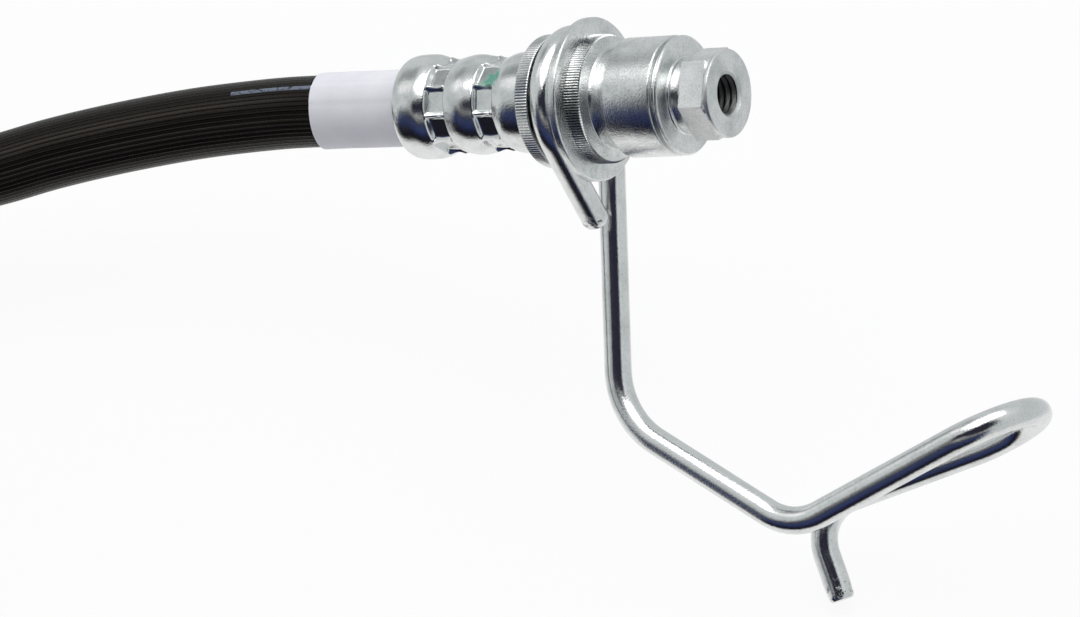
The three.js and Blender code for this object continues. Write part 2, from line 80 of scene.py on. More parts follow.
turn_x, turn_y, turn_z = (math.radians(turn) for turn in FITTING_TURNS)
fitting_frame = (
    Matrix.Translation(FITTING_PLACE)
    @ Matrix.Rotation(turn_z, 4, "Z")
    @ Matrix.Rotation(turn_y, 4, "Y")
    @ Matrix.Rotation(turn_x, 4, "X")
)
far_frame = Matrix.Translation(FAR_MOUTH) @ Matrix.Rotation(math.radians(FAR_HEADING), 4, "Z")


# Mesh helpers


def add_mesh(name, points, faces, place=None, uvs=None, sharp=38.0):
    """A mesh object from millimetre points, smooth shaded with its sharp edges kept."""
    matrix = place or Matrix.Identity(4)
    mesh = bpy.data.meshes.new(name)
    mesh.from_pydata([(matrix @ Vector(p)) * MM for p in points], [], faces)
    if uvs:
        layer = mesh.uv_layers.new(name="surface")
        flat = [value for face in uvs for corner in face for value in corner]
        layer.data.foreach_set("uv", flat)
    mesh.validate()
    mesh.polygons.foreach_set("use_smooth", [True] * len(mesh.polygons))
    mesh.set_sharp_from_angle(angle=math.radians(sharp))
    mesh.update()
    piece = bpy.data.objects.new(name, mesh)
    bpy.context.scene.collection.objects.link(piece)
    return piece


def seat(piece, slot, *nodes):
    """The piece rides on the root body and stands for its solids, which are hidden. The slot is not used."""
    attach(piece, "root")
    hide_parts(*nodes)
    return piece


def skin_rings(rings, lengths=None, first_face=0):
    """Faces and UVs between closed rings of equal count. U runs round each ring and V along them."""
    count = len(rings[0])
    faces = []
    uvs = []
    for i in range(len(rings) - 1):
        low = lengths[i] if lengths else float(i)
        high = lengths[i + 1] if lengths else float(i + 1)
        for j in range(count):
            k = (j + 1) % count
            a = first_face + i * count
            b = a + count
            faces.append((a + j, a + k, b + k, b + j))
            u, v = j / count, (j + 1) / count
            uvs.append(((u, low), (v, low), (v, high), (u, high)))
    return faces, uvs


def add_cap(faces, uvs, start, count, flip):
    """Closes the ring that starts at a point's number."""
    loop = list(range(start, start + count))
    faces.append(tuple(reversed(loop)) if flip else tuple(loop))
    uvs.append([(0.0, 0.0)] * count)


def add_both_caps(faces, uvs, rings, first=0):
    """Closes the first and the last ring of a skin whose points start at a number."""
    count = len(rings[0])
    add_cap(faces, uvs, first, count, True)
    add_cap(faces, uvs, first + (len(rings) - 1) * count, count, False)


def ring_points(rings):
    return [point for ring in rings for point in ring]


def round_corners(profile, radius, steps=3):
    """A turned profile with each corner eased by a small arc."""
    eased = [profile[0]]
    for before, corner, after in zip(profile, profile[1:], profile[2:]):
        into = Vector(corner) - Vector(before)
        out = Vector(after) - Vector(corner)
        if into.length < 1e-6 or out.length < 1e-6:
            eased.append(corner)
            continue
        turn = into.angle(out)
        if turn < LEAST_CORNER:
            eased.append(corner)
            continue
        ease = min(radius * math.tan(turn / 2), 0.4 * into.length, 0.4 * out.length)
        start = Vector(corner) - into.normalized() * ease
        end = Vector(corner) + out.normalized() * ease
        for step in range(steps + 1):
            t = step / steps
            point = start.lerp(Vector(corner), t).lerp(Vector(corner).lerp(end, t), t)
            eased.append((point.x, point.y))
    eased.append(profile[-1])
    return eased


def profile_lengths(profile):
    total = 0.0
    lengths = [0.0]
    for first, last in zip(profile, profile[1:]):
        total += math.dist(first, last)
        lengths.append(total)
    return lengths


def turned_rings(profile, count, shape=None, start=0.0):
    """Rings about +X. The shape may change each radius by its place and angle."""
    rings = []
    for along, radius in profile:
        ring = []
        for j in range(count):
            angle = start + TAU * j / count
            reach = shape(along, angle, radius) if shape else radius
            ring.append((along, reach * math.cos(angle), reach * math.sin(angle)))
        rings.append(ring)
    return rings


# The hose's route, from inside its ferrule to inside the far one

LOOP_CENTRE = (-173.43, -32.2)
LOOP_RADIUS = 52.5
LOOP_START = 98.4
LOOP_STEP = 18
LOOP_STEPS = 15
LOOP_HEIGHTS = (9.2, 7.7, 6.5, 5.7)
FLOOR_HEIGHT = 5.4
RUN_OUT = (
    (-47.93, 30.0, 37.1),
    (-52.33, 31.3, 35.5),
    (-56.83, 32.4, 34.0),
    (-61.23, 33.2, 32.8),
    (-67.23, 33.8, 31.3),
    (-74.63, 34.1, 29.6),
    (-82.13, 33.9, 27.9),
    (-89.53, 33.3, 26.3),
    (-97.03, 32.4, 24.6),
    (-104.53, 31.1, 22.8),
    (-116.43, 29.4, 20.4),
    (-128.93, 27.5, 17.9),
    (-144.43, 25.2, 14.9),
    (-159.43, 23.0, 12.4),
    (-170.63, 21.2, 10.7),
)
RUN_IN = (
    (-123.73, -9.0, 5.45),
    (-125.93, 6.8, 5.8),
    (-127.63, 18.7, 6.3),
    (-129.33, 30.6, 6.8),
)


def route_points():
    seat_place = FERRULE_MOUTH + HOSE_SEAT_DEPTH
    places = (seat_place, seat_place - 6.0, FERRULE_MOUTH + 5.0, FERRULE_MOUTH - 1.0)
    points = [fitting_frame @ Vector((place, 0.0, 0.0)) for place in places]
    points += [Vector(point) for point in RUN_OUT]
    for i in range(LOOP_STEPS + 1):
        angle = math.radians(LOOP_START + i * LOOP_STEP)
        height = LOOP_HEIGHTS[i] if i < len(LOOP_HEIGHTS) else FLOOR_HEIGHT
        points.append(Vector((
            LOOP_CENTRE[0] + LOOP_RADIUS * math.cos(angle),
            LOOP_CENTRE[1] + LOOP_RADIUS * math.sin(angle),
            height,
        )))
    points += [Vector(point) for point in RUN_IN]
    for place in (-2.0, FAR_SEAT_DEPTH / 2, FAR_SEAT_DEPTH - GAP):
        points.append(far_frame @ Vector((place, 0.0, 0.0)))
    return points


def smooth_route(points, steps=40):
    """A centripetal Catmull-Rom curve through the points, finely sampled."""
    ends = [2 * points[0] - points[1]] + points + [2 * points[-1] - points[-2]]
    curve = []
    for p0, p1, p2, p3 in zip(ends, ends[1:], ends[2:], ends[3:]):
        d0, d1, d2 = ((b - a).length ** 0.5 for a, b in ((p0, p1), (p1, p2), (p2, p3)))
        out = ((p1 - p0) / d0 - (p2 - p0) / (d0 + d1) + (p2 - p1) / d1) * d1
        into = ((p2 - p1) / d1 - (p3 - p1) / (d1 + d2) + (p3 - p2) / d2) * d1
        for step in range(steps):
            t = step / steps
            curve.append(
                p1
                + out * t
                + (3 * (p2 - p1) - 2 * out - into) * t * t
                + (2 * (p1 - p2) + out + into) * t * t * t
            )
    curve.append(points[-1].copy())
    return curve


def even_steps(curve, step):
    """Points a fixed length apart along a sampled curve, and each one's length from its start."""
    total = sum((b - a).length for a, b in zip(curve, curve[1:]))
    count = max(2, round(total / step))
    wanted = [total * i / count for i in range(count + 1)]
    points = []
    lengths = []
    run = 0.0
    index = 0
    for a, b in zip(curve, curve[1:]):
        span = (b - a).length
        while index <= count and (wanted[index] <= run + span + 1e-9):
            points.append(a.lerp(b, (wanted[index] - run) / span if span else 0.0))
            lengths.append(wanted[index])
            index += 1
        run += span
    return points, lengths


def rings_along(points, section, up=Vector((0.0, 0.0, 1.0))):
    """The section's points carried along a line without twist. A section may vary with its place."""
    rings = []
    side = None
    last = len(points) - 1
    for i, point in enumerate(points):
        way = (points[min(i + 1, last)] - points[max(i - 1, 0)]).normalized()
        if side is None:
            side = way.cross(up).normalized()
        side = (side - way * side.dot(way)).normalized()
        rise = side.cross(way)
        outline = section(i) if callable(section) else section
        rings.append([point + side * x + rise * y for x, y in outline])
    return rings


def circle(radius, count):
    return [
        (radius * math.cos(TAU * j / count), radius * math.sin(TAU * j / count))
        for j in range(count)
    ]


hose_curve = smooth_route(route_points())


def add_hose():
    points, lengths = even_steps(hose_curve, 1.5)
    rings = rings_along(points, circle(HOSE_RADIUS, 72))
    faces, uvs = skin_rings(rings, lengths)
    add_both_caps(faces, uvs, rings)
    hose = add_mesh("hose_cover", ring_points(rings), faces, uvs=uvs)
    seat(hose, "hose", "hose")
    return hose, [tuple(point * MM) for point in points], lengths[-1] * MM


hose, hose_path, hose_length = add_hose()


LABEL_START = HOSE_SEAT_DEPTH + 0.2
LABEL_LENGTH = 15.5
LABEL_INSIDE = HOSE_RADIUS + 0.12
LABEL_OUTSIDE = HOSE_RADIUS + 0.34
LABEL_LAP_ANGLE = math.radians(96)
LABEL_LAP_FADE = 0.5
LABEL_LAP_HEIGHT = 0.16


def add_label():
    """A paper band, wrapped once round the hose with its end lapped over its start."""
    curve, lengths = even_steps(hose_curve, 0.5)
    end = LABEL_START + LABEL_LENGTH
    points = [p for p, length in zip(curve, lengths) if LABEL_START <= length <= end]
    count = 96
    rings = rings_along(points, circle(1.0, count))
    centres = [sum(ring, Vector()) / count for ring in rings]

    def layer(reach):
        return [
            [centre + (p - centre) * reach(j) for j, p in enumerate(ring)]
            for ring, centre in zip(rings, centres)
        ]

    def outer(j):
        past = (TAU * j / count - LABEL_LAP_ANGLE) % TAU
        if past >= LABEL_LAP_FADE:
            return LABEL_OUTSIDE
        return LABEL_OUTSIDE + LABEL_LAP_HEIGHT * (1.0 - past / LABEL_LAP_FADE) ** 0.2

    inside = layer(lambda j: LABEL_INSIDE)
    outside = layer(outer)
    loops = [inside[0]] + outside + [inside[-1]] + list(reversed(inside))[1:]
    faces, uvs = skin_rings(loops)
    paper = add_mesh("label_paper", ring_points(loops), faces, uvs=uvs, sharp=50.0)
    return seat(paper, "label_band", "label_band")


label = add_label()

# Crimped ferrules


def blend_step(value, low, high):
    t = min(1.0, max(0.0, (value - low) / (high - low)))
    return t * t * (3.0 - 2.0 * t)


JAWS = 10
JAW_FACE = 3.3
MARK_END_EASE = 0.3
MARK_RAISE = 0.1
MARK_RIDGE = 0.16


def crimp_shape(places, turn, flat, half_width, least):
    """Presses a row of flat jaw marks into a turned ferrule at each place, with a ridge between marks."""
    pitch = TAU / JAWS

    def shape(along, angle, radius):
        if radius <= least:
            return radius
        for place in places:
            away = abs(along - place)
            if away > half_width + MARK_END_EASE:
                continue
            off = (angle - turn + pitch / 2) % pitch - pitch / 2
            edge = abs(flat * math.tan(off)) - JAW_FACE / 2
            pressed = min(radius, flat / math.cos(off))
            side = 1.0 - blend_step(edge, -0.2, 0.24)
            depth = 1.0 - blend_step(away, half_width - 0.2, half_width + 0.28)
            radius += (pressed - radius) * side * depth
            ridge = blend_step(edge, -0.05, 0.16) * (1.0 - blend_step(edge, 0.16, 0.5))
            radius += (MARK_RAISE + MARK_RIDGE * ridge) * blend_step(edge, -0.1, 0.25) * depth
        return radius

    return shape


def spline_profile(profile, step):
    """More points along a profile, on a smooth curve through the ones given."""
    points = [Vector((along, radius, 0.0)) for along, radius in profile]
    curve = smooth_route(points, 12)
    steps = even_steps(curve, step)[0]
    return [(point.x, point.y) for point in steps]


def add_crimp_ferrule():
    outside = spline_profile(
        [
            (-27.2, 6.6), (-27.1, 6.95), (-26.7, 7.3), (-25.9, 7.5), (-24.6, 7.55), (-23.05, 7.45),
            (-21.5, 6.9), (-19.95, 6.45), (-18.4, 6.8), (-15.85, 7.19),
            (-13.3, 6.75), (-11.75, 6.35), (-10.2, 6.7), (-8.65, 7.15), (-4.85, 7.3),
        ],
        0.13,
    )
    inside = [(-4.85, 5.5), (-10.2, 5.5), (-10.2, 5.55), (-27.1, 5.55), (-27.2, 5.7)]
    outline = outside + inside + [outside[0]]
    shape = crimp_shape((-19.95, -11.75), math.radians(123), flat=6.05, half_width=1.45, least=5.9)
    rings = turned_rings(outline, 260, shape)
    faces, uvs = skin_rings(rings, profile_lengths(outline))
    shell = add_mesh("ferrule", ring_points(rings), faces, fitting_frame, uvs, 46.0)
    return seat(shell, "crimp_ferrule", "crimp_ferrule")


def add_far_ferrule():
    outside = spline_profile(
        [
            (0.0, 6.4), (0.3, 6.8), (1.0, 7.05), (4.0, 7.1), (5.4, 6.6), (6.5, 6.3), (7.6, 6.6),
            (9.0, 7.0), (10.4, 6.6), (11.5, 6.3), (12.6, 6.6), (14.0, 7.0), (18.8, 7.0), (19.6, 6.5),
            (20.0, 5.8),
        ],
        0.16,
    )
    inside = [(20.0, 4.5), (14.0, 4.5), (14.0, 5.55), (0.0, 5.55)]
    outline = outside + inside + [outside[0]]
    shape = crimp_shape((6.5, 11.5), 0.0, flat=6.0, half_width=1.3, least=5.7)
    rings = turned_rings(outline, 200, shape)
    faces, uvs = skin_rings(rings, profile_lengths(outline))
    shell = add_mesh("far_ferrule_shell", ring_points(rings), faces, far_frame, uvs, 46.0)
    return seat(shell, "far_ferrule", "far_ferrule")


ferrule = add_crimp_ferrule()
far_ferrule = add_far_ferrule()

# Port fitting

TEETH = 144
TOOTH_STEPS = 4
HEX_FLATS = 11.4
HEX_TURN = 48.7
# Each toothed band: its start, end and radius
COLLAR = (-4.45, -2.5, 9.45)
SERRATION = (3.66, 5.8, 9.1)
COLLAR_TOOTH_DEPTH = 0.1
SERRATION_TOOTH_DEPTH = 0.42
HEX = (20.05, 24.35)
HEX_LEAST_RADIUS = 6.3
PORT_RADIUS = 2.75
PORT_DEEPEST_THREAD = 14.5
THREAD_PITCH = 1.0
THREAD_DEPTH = 0.32

PORT_FITTING_PROFILE = [
    (-9.9, 5.15), (-4.55, 5.15), (-4.55, 9.2), (-4.3, 9.45), (-2.55, 9.45), (-2.4, 9.3), (-2.4, 6.4),
    (2.4, 6.4), (2.4, 11.35), (2.6, 11.55), (3.45, 11.55), (3.65, 11.35), (3.65, 9.1),
    (5.7, 9.1), (5.9, 8.75), (6.35, 7.15), (6.75, 7.0), (8.2, 7.0), (8.3, 7.3), (9.25, 7.3),
    (9.25, 8.2), (9.45, 8.4), (16.65, 8.4), (16.85, 8.25), (16.85, 7.5), (17.6, 7.5),
    (17.6, 8.35), (17.85, 8.35), (18.1, 8.1), (18.1, 5.6), (18.3, 5.6), (18.45, 5.45), (18.45, 5.1),
    (19.8, 5.1), (19.8, 5.5), (20.3, 6.58), (23.9, 6.58), (24.3, 6.05), (24.3, 6.15), (24.75, 6.15),
    (24.9, 6.0), (24.9, 3.4),
]


def tooth(angle):
    """From 0 on a tooth's crest to 1 in the valley beside it."""
    return abs(((angle * TEETH / TAU) % 1.0) * 2.0 - 1.0)


def hex_reach(angle):
    side = math.radians(60)
    off = (angle - math.radians(HEX_TURN)) % side - side / 2
    return HEX_FLATS / 2 / math.cos(off)


def fitting_shape(along, angle, radius):
    if COLLAR[0] < along < COLLAR[1] and radius > COLLAR[2] - 0.15:
        return radius - COLLAR_TOOTH_DEPTH * tooth(angle)
    if SERRATION[0] < along < SERRATION[1] and abs(radius - SERRATION[2]) < 0.1:
        return radius - SERRATION_TOOTH_DEPTH * tooth(angle)
    if HEX[0] < along < HEX[1] and radius > HEX_LEAST_RADIUS:
        return min(radius, hex_reach(angle))
    return radius


def add_port_fitting():
    count = TEETH * TOOTH_STEPS
    start = math.radians(HEX_TURN)
    outline = round_corners(PORT_FITTING_PROFILE, 0.12, 2)
    rings = turned_rings(outline, count, fitting_shape, start)
    faces, uvs = skin_rings(rings, profile_lengths(outline))
    points = ring_points(rings)
    add_cap(faces, uvs, 0, count, True)

    # The port: a countersink, a thread and a floor, of fewer sides than the outside
    fewer = 96
    ratio = count // fewer
    hole = [(24.9, 3.35), (24.55, 2.98)]
    along = 24.5
    while along > PORT_DEEPEST_THREAD:
        hole.append((along, PORT_RADIUS))
        along -= THREAD_PITCH / 8
    hole += [(13.9, PORT_RADIUS), (13.9, 1.9), (15.2, 0.9), (8.0, 0.9)]

    def thread(place, angle, radius):
        if radius != PORT_RADIUS:
            return radius
        wave = abs(((place / THREAD_PITCH + angle / TAU) % 1.0) * 2.0 - 1.0)
        return radius + THREAD_DEPTH * (wave - 0.3)

    inner = turned_rings(hole, fewer, thread, start)
    first = len(points)
    points += ring_points(inner)
    more, more_uvs = skin_rings(inner, profile_lengths(hole), first)
    faces += more
    uvs += more_uvs
    rim = (len(rings) - 1) * count
    for j in range(fewer):
        k = (j + 1) % fewer
        arc = [rim + (j * ratio + step) % count for step in range(ratio + 1)]
        face = arc + [first + k, first + j]
        faces.append(tuple(face))
        uvs.append([(0.0, 60.0)] * len(face))
    add_cap(faces, uvs, first + (len(inner) - 1) * fewer, fewer, False)
    turned = add_mesh("fitting", points, faces, fitting_frame, uvs, 34.0)
    return seat(turned, "port_fitting", "port_fitting")


fitting = add_port_fitting()

# Wire bracket

LOOP_WIRE_RADIUS = 8.65
TAIL_START = 45.0
UPPER_TAIL = 15.4
LEG_BEND = (0.95, -45.0, 11.8)
ARM_BEND = (29.05, -60.3, 8.9)
ARM_RISE = 26.0
ARM_LENGTH = 27.9
HAIRPIN_WIDTH = 17.0
HAIRPIN_TILT = 0.6
HAIRPIN_TURN = 182.9
RETURN_LEAD = 3.0
RETURN_SWING = 7.1
RETURN_BEND = 35.0
RETURN_LENGTH = 29.1
FOOT_BEND = 6.4
FOOT_LENGTH = 13.2
FOOT_ANGLE = 19.8
FOOT_DIP = 2.3
WIRE_STEP = 0.45
WIRE_END_EASE = 0.22
FOOT_FLATTENED_LENGTH = 2.4
FOOT_FLATTENING = 0.1


def arc_points(centre, start, axis, angle, step=0.5):
    radius = (start - centre).length
    count = max(4, round(abs(angle) * radius / step))
    turn = [Matrix.Rotation(angle * i / count, 3, axis) for i in range(count + 1)]
    return [centre + matrix @ (start - centre) for matrix in turn]


def corner_points(before, corner, after, radius):
    into = (corner - before).normalized()
    out = (after - corner).normalized()
    turn = into.angle(out)
    axis = into.cross(out).normalized()
    first = corner - into * radius * math.tan(turn / 2)
    centre = first + axis.cross(into) * radius
    return arc_points(centre, first, axis, turn)


def wire_line():
    """The wire's middle line in the fitting's frame, from the upper tail to the foot."""
    tail = math.radians(TAIL_START)
    rise = math.radians(ARM_RISE)
    tilt = math.radians(HAIRPIN_TILT)
    foot = math.radians(FOOT_ANGLE)
    loop_start = LOOP_WIRE_RADIUS * Vector((0.0, -math.sin(tail), math.cos(tail)))
    tail_end = loop_start + UPPER_TAIL * Vector((0.0, -math.cos(tail), -math.sin(tail)))
    leg_top = Vector((0.0, 0.0, -LOOP_WIRE_RADIUS))
    leg_bend = Vector((LEG_BEND[0], LEG_BEND[1], -LOOP_WIRE_RADIUS))
    arm_bend = Vector((ARM_BEND[0], ARM_BEND[1], -LOOP_WIRE_RADIUS))
    arm_way = Vector((math.cos(rise), math.sin(rise), 0.0))
    arm_end = arm_bend + arm_way * ARM_LENGTH
    arm_side = Vector((0.0, 0.0, 1.0)).cross(arm_way)
    across = Vector((0.0, 0.0, -math.cos(tilt))) + arm_side * math.sin(tilt)
    middle = arm_end + across * HAIRPIN_WIDTH / 2
    hairpin_axis = arm_way.cross(across).normalized()
    hairpin = arc_points(middle, arm_end, hairpin_axis, math.radians(HAIRPIN_TURN), 0.4)
    lead_way = Matrix.Rotation(math.radians(HAIRPIN_TURN), 3, hairpin_axis) @ arm_way
    return_bend = hairpin[-1] + lead_way * RETURN_LEAD
    return_way = Matrix.Rotation(math.radians(RETURN_SWING), 3, across) @ lead_way
    foot_bend = return_bend + return_way * RETURN_LENGTH
    foot_way = Vector((math.sin(foot), -math.cos(foot), -math.tan(math.radians(FOOT_DIP))))
    foot_end = foot_bend + FOOT_LENGTH * foot_way.normalized()
    line = [tail_end]
    line += arc_points(Vector(), loop_start, Vector((-1.0, 0.0, 0.0)), tail + math.pi, 0.4)
    line += corner_points(leg_top, leg_bend, arm_bend, LEG_BEND[2])
    line += corner_points(leg_bend, arm_bend, arm_end, ARM_BEND[2])
    line += hairpin
    line += corner_points(hairpin[-1], return_bend, foot_bend, RETURN_BEND)
    line += corner_points(return_bend, foot_bend, foot_end, FOOT_BEND)
    line.append(foot_end)
    return line


def add_wire_bracket():
    points, lengths = even_steps(wire_line(), WIRE_STEP)
    last = lengths[-1]

    def section(i):
        from_end = min(lengths[i], last - lengths[i])
        radius = WIRE_RADIUS - WIRE_END_EASE * max(0.0, 1.0 - from_end / WIRE_STEP) ** 2
        near_foot = max(0.0, 1.0 - (last - lengths[i]) / FOOT_FLATTENED_LENGTH)
        return [(x, y * (1.0 - FOOT_FLATTENING * near_foot)) for x, y in circle(radius, 40)]

    rings = rings_along(points, section, Vector((1.0, 0.0, 0.0)))
    faces, uvs = skin_rings(rings, lengths)
    add_both_caps(faces, uvs, rings)
    wire = add_mesh("bracket_wire", ring_points(rings), faces, fitting_frame, uvs, 50.0)
    return seat(wire, "wire_bracket", "wire_bracket")


bracket = add_wire_bracket()

# Banjo fitting at the far end

BANJO_STEM_RADIUS = 4.2
BANJO_EYE_RADIUS = 9.5
BANJO_EYE_HEIGHT = 10.4
BANJO_BORE_RADIUS = 5.1
BANJO_CENTRE = 36.0
EYE_CHAMFER = 0.5
BORE_CHAMFER = 0.3


def add_banjo():
    half = BANJO_EYE_HEIGHT / 2
    outer = BANJO_EYE_RADIUS
    bore = BANJO_BORE_RADIUS
    eye = [
        (-half, bore + BORE_CHAMFER), (-half, outer - EYE_CHAMFER), (-half + EYE_CHAMFER, outer),
        (half - EYE_CHAMFER, outer), (half, outer - EYE_CHAMFER), (half, bore + BORE_CHAMFER),
        (half - BORE_CHAMFER, bore), (-half + BORE_CHAMFER, bore), (-half, bore + BORE_CHAMFER),
    ]
    eye = round_corners(eye, 0.15)
    rings = turned_rings(eye, 128)
    upright = Matrix.Translation((BANJO_CENTRE, 0.0, 0.0)) @ Matrix.Rotation(-math.pi / 2, 4, "Y")
    points = [upright @ Vector(p) for p in ring_points(rings)]
    faces, uvs = skin_rings(rings, profile_lengths(eye))
    stem = [
        (2.0, STEM_RADIUS), (14.3, STEM_RADIUS), (14.3, BANJO_STEM_RADIUS), (22.2, BANJO_STEM_RADIUS),
        (26.0, BANJO_STEM_RADIUS + 0.1), (27.6, BANJO_STEM_RADIUS + 0.6), (29.5, BANJO_STEM_RADIUS + 0.7),
    ]
    stem = round_corners(stem, 0.3)
    stem_rings = turned_rings(stem, 64)
    first = len(points)
    points += [Vector(p) for p in ring_points(stem_rings)]
    more, more_uvs = skin_rings(stem_rings, profile_lengths(stem), first)
    faces += more
    uvs += more_uvs
    add_both_caps(faces, uvs, stem_rings, first)
    return seat(add_mesh("banjo", points, faces, far_frame, uvs, 40.0), "banjo_fitting", "banjo_fitting")


banjo = add_banjo()

# Tie round the crossing of the hose's two runs

TIE_PLACE = (-128.83, 27.5)
TIE_HEADING = 53.2
TIE_THICKNESS = 0.7
TIE_WIDTH = 3.0
TIE_BOTTOM = 0.1
TIE_TOP = 24.7
TIE_ROUND = 4.0
TIE_CLEARANCE = 0.35
TIE_EDGE = (0.2, 0.12)
TIE_HEAD_BOTTOM = 8.0
TIE_HEAD_DEPTH = 2.2
TIE_HEAD_HALF_WIDTH = 2.2
TIE_HEAD_HEIGHT = 4.6


def add_tie():
    width = TIE_WIDTH / 2
    thick = TIE_THICKNESS / 2
    half = HOSE_RADIUS * math.sqrt(2.0) + width + TIE_CLEARANCE + thick
    low = TIE_BOTTOM + thick
    high = TIE_TOP - thick
    ease = TIE_ROUND - thick
    line = []
    for side, level, first in ((1, low, -90), (1, high, 0), (-1, high, 90), (-1, low, 180)):
        for step in range(9):
            angle = math.radians(first + step * 90 / 8)
            centre_x = side * (half - ease)
            centre_z = level + ease if level == low else level - ease
            across = centre_x + ease * math.cos(angle)
            line.append(Vector((across, 0.0, centre_z + ease * math.sin(angle))))
    flat = width - TIE_EDGE[0]
    edge = thick - TIE_EDGE[1]
    section = [
        (-width, -edge), (-flat, -thick), (flat, -thick), (width, -edge),
        (width, edge), (flat, thick), (-flat, thick), (-width, edge),
    ]
    rings = []
    total = len(line)
    for i, point in enumerate(line):
        way = (line[(i + 1) % total] - line[i - 1]).normalized()
        out = Vector((way.z, 0.0, -way.x))
        rings.append([point + Vector((0.0, x, 0.0)) + out * y for x, y in section])
    rings.append(rings[0])
    points = ring_points(rings)
    faces, uvs = skin_rings(rings)
    head = len(points)
    points += [
        Vector((half + x, y, TIE_HEAD_BOTTOM + z))
        for x in (thick, thick + TIE_HEAD_DEPTH)
        for y in (-TIE_HEAD_HALF_WIDTH, TIE_HEAD_HALF_WIDTH)
        for z in (0.0, TIE_HEAD_HEIGHT)
    ]
    corners = ((0, 1, 3, 2), (4, 6, 7, 5), (0, 4, 5, 1), (2, 3, 7, 6), (0, 2, 6, 4), (1, 5, 7, 3))
    faces += [tuple(head + c for c in corner) for corner in corners]
    uvs += [[(0.0, 0.0)] * 4 for _ in corners]
    heading = Matrix.Rotation(math.radians(TIE_HEADING), 4, "Z")
    place = Matrix.Translation((*TIE_PLACE, 0.0)) @ heading
    tie = add_mesh("tie_strap", points, faces, place, uvs, 40.0)
    bevel = tie.modifiers.new("eased edges", "BEVEL")
    bevel.width = 0.25 * MM
    bevel.segments = 2
    bevel.limit_method = "ANGLE"
    bevel.angle_limit = math.radians(60)
    return seat(tie, "hose_tie", "hose_tie")


tie = add_tie()

# Materials


def new_material(name):
    material = bpy.data.materials.new(name)
    material.use_nodes = True
    tree = material.node_tree
    return material, tree, tree.nodes["Principled BSDF"]


def socket_value(tree, node, key, value):
    if isinstance(value, bpy.types.NodeSocket):
        tree.links.new(value, node.inputs[key])
    elif value is not None:
        node.inputs[key].default_value = value


def math_node(tree, operation, first, second=None, third=None):
    node = tree.nodes.new("ShaderNodeMath")
    node.operation = operation
    for index, value in enumerate((first, second, third)):
        socket_value(tree, node, index, value)
    return node.outputs[0]


def vector_node(tree, operation, first, second=None):
    node = tree.nodes.new("ShaderNodeVectorMath")
    node.operation = operation
    for index, value in enumerate((first, second)):
        socket_value(tree, node, index, value)
    return node


def noise_node(tree, vector, scale, detail=2.0, rough=0.5, dimensions="3D"):
    node = tree.nodes.new("ShaderNodeTexNoise")
    node.noise_dimensions = dimensions
    if dimensions == "1D":
        tree.links.new(vector, node.inputs["W"])
    else:
        tree.links.new(vector, node.inputs["Vector"])
    node.inputs["Scale"].default_value = scale
    node.inputs["Detail"].default_value = detail
    node.inputs["Roughness"].default_value = rough
    return node.outputs["Fac"]


def range_node(tree, value, low, high, to_low=0.0, to_high=1.0):
    node = tree.nodes.new("ShaderNodeMapRange")
    socket_value(tree, node, "Value", value)
    for key, amount in (("From Min", low), ("From Max", high), ("To Min", to_low), ("To Max", to_high)):
        socket_value(tree, node, key, amount)
    return node.outputs["Result"]


def mix_colours(tree, mask, first, second):
    node = tree.nodes.new("ShaderNodeMix")
    node.data_type = "RGBA"
    for key, value in ((0, mask), (6, first), (7, second)):
        socket_value(tree, node, key, value)
    return node.outputs[2]


def object_place(tree):
    return tree.nodes.new("ShaderNodeTexCoord").outputs["Object"]


def surface_place(tree):
    """The turn round a piece, from 0 to 1, and the length along it in millimetres."""
    surface = tree.nodes.new("ShaderNodeUVMap")
    surface.uv_map = "surface"
    split = tree.nodes.new("ShaderNodeSeparateXYZ")
    tree.links.new(surface.outputs[0], split.inputs[0])
    return split.outputs["X"], split.outputs["Y"]


def add_bump(tree, shader, height, strength, distance):
    bump = tree.nodes.new("ShaderNodeBump")
    bump.inputs["Strength"].default_value = strength
    bump.inputs["Distance"].default_value = distance
    tree.links.new(height, bump.inputs["Height"])
    tree.links.new(bump.outputs["Normal"], shader.inputs["Normal"])


def new_group(name, inputs, outputs):
    tree = bpy.data.node_groups.new(name, "ShaderNodeTree")
    for label_text, kind, value in inputs:
        item = tree.interface.new_socket(label_text, in_out="INPUT", socket_type=kind)
        if value is not None:
            item.default_value = value
    for label_text, kind in outputs:
        tree.interface.new_socket(label_text, in_out="OUTPUT", socket_type=kind)
    return tree, tree.nodes.new("NodeGroupInput"), tree.nodes.new("NodeGroupOutput")


def use_group(tree, group, **values):
    node = tree.nodes.new("ShaderNodeGroup")
    node.node_tree = group
    for key, value in values.items():
        socket_value(tree, node, key.replace("_", " "), value)
    return node


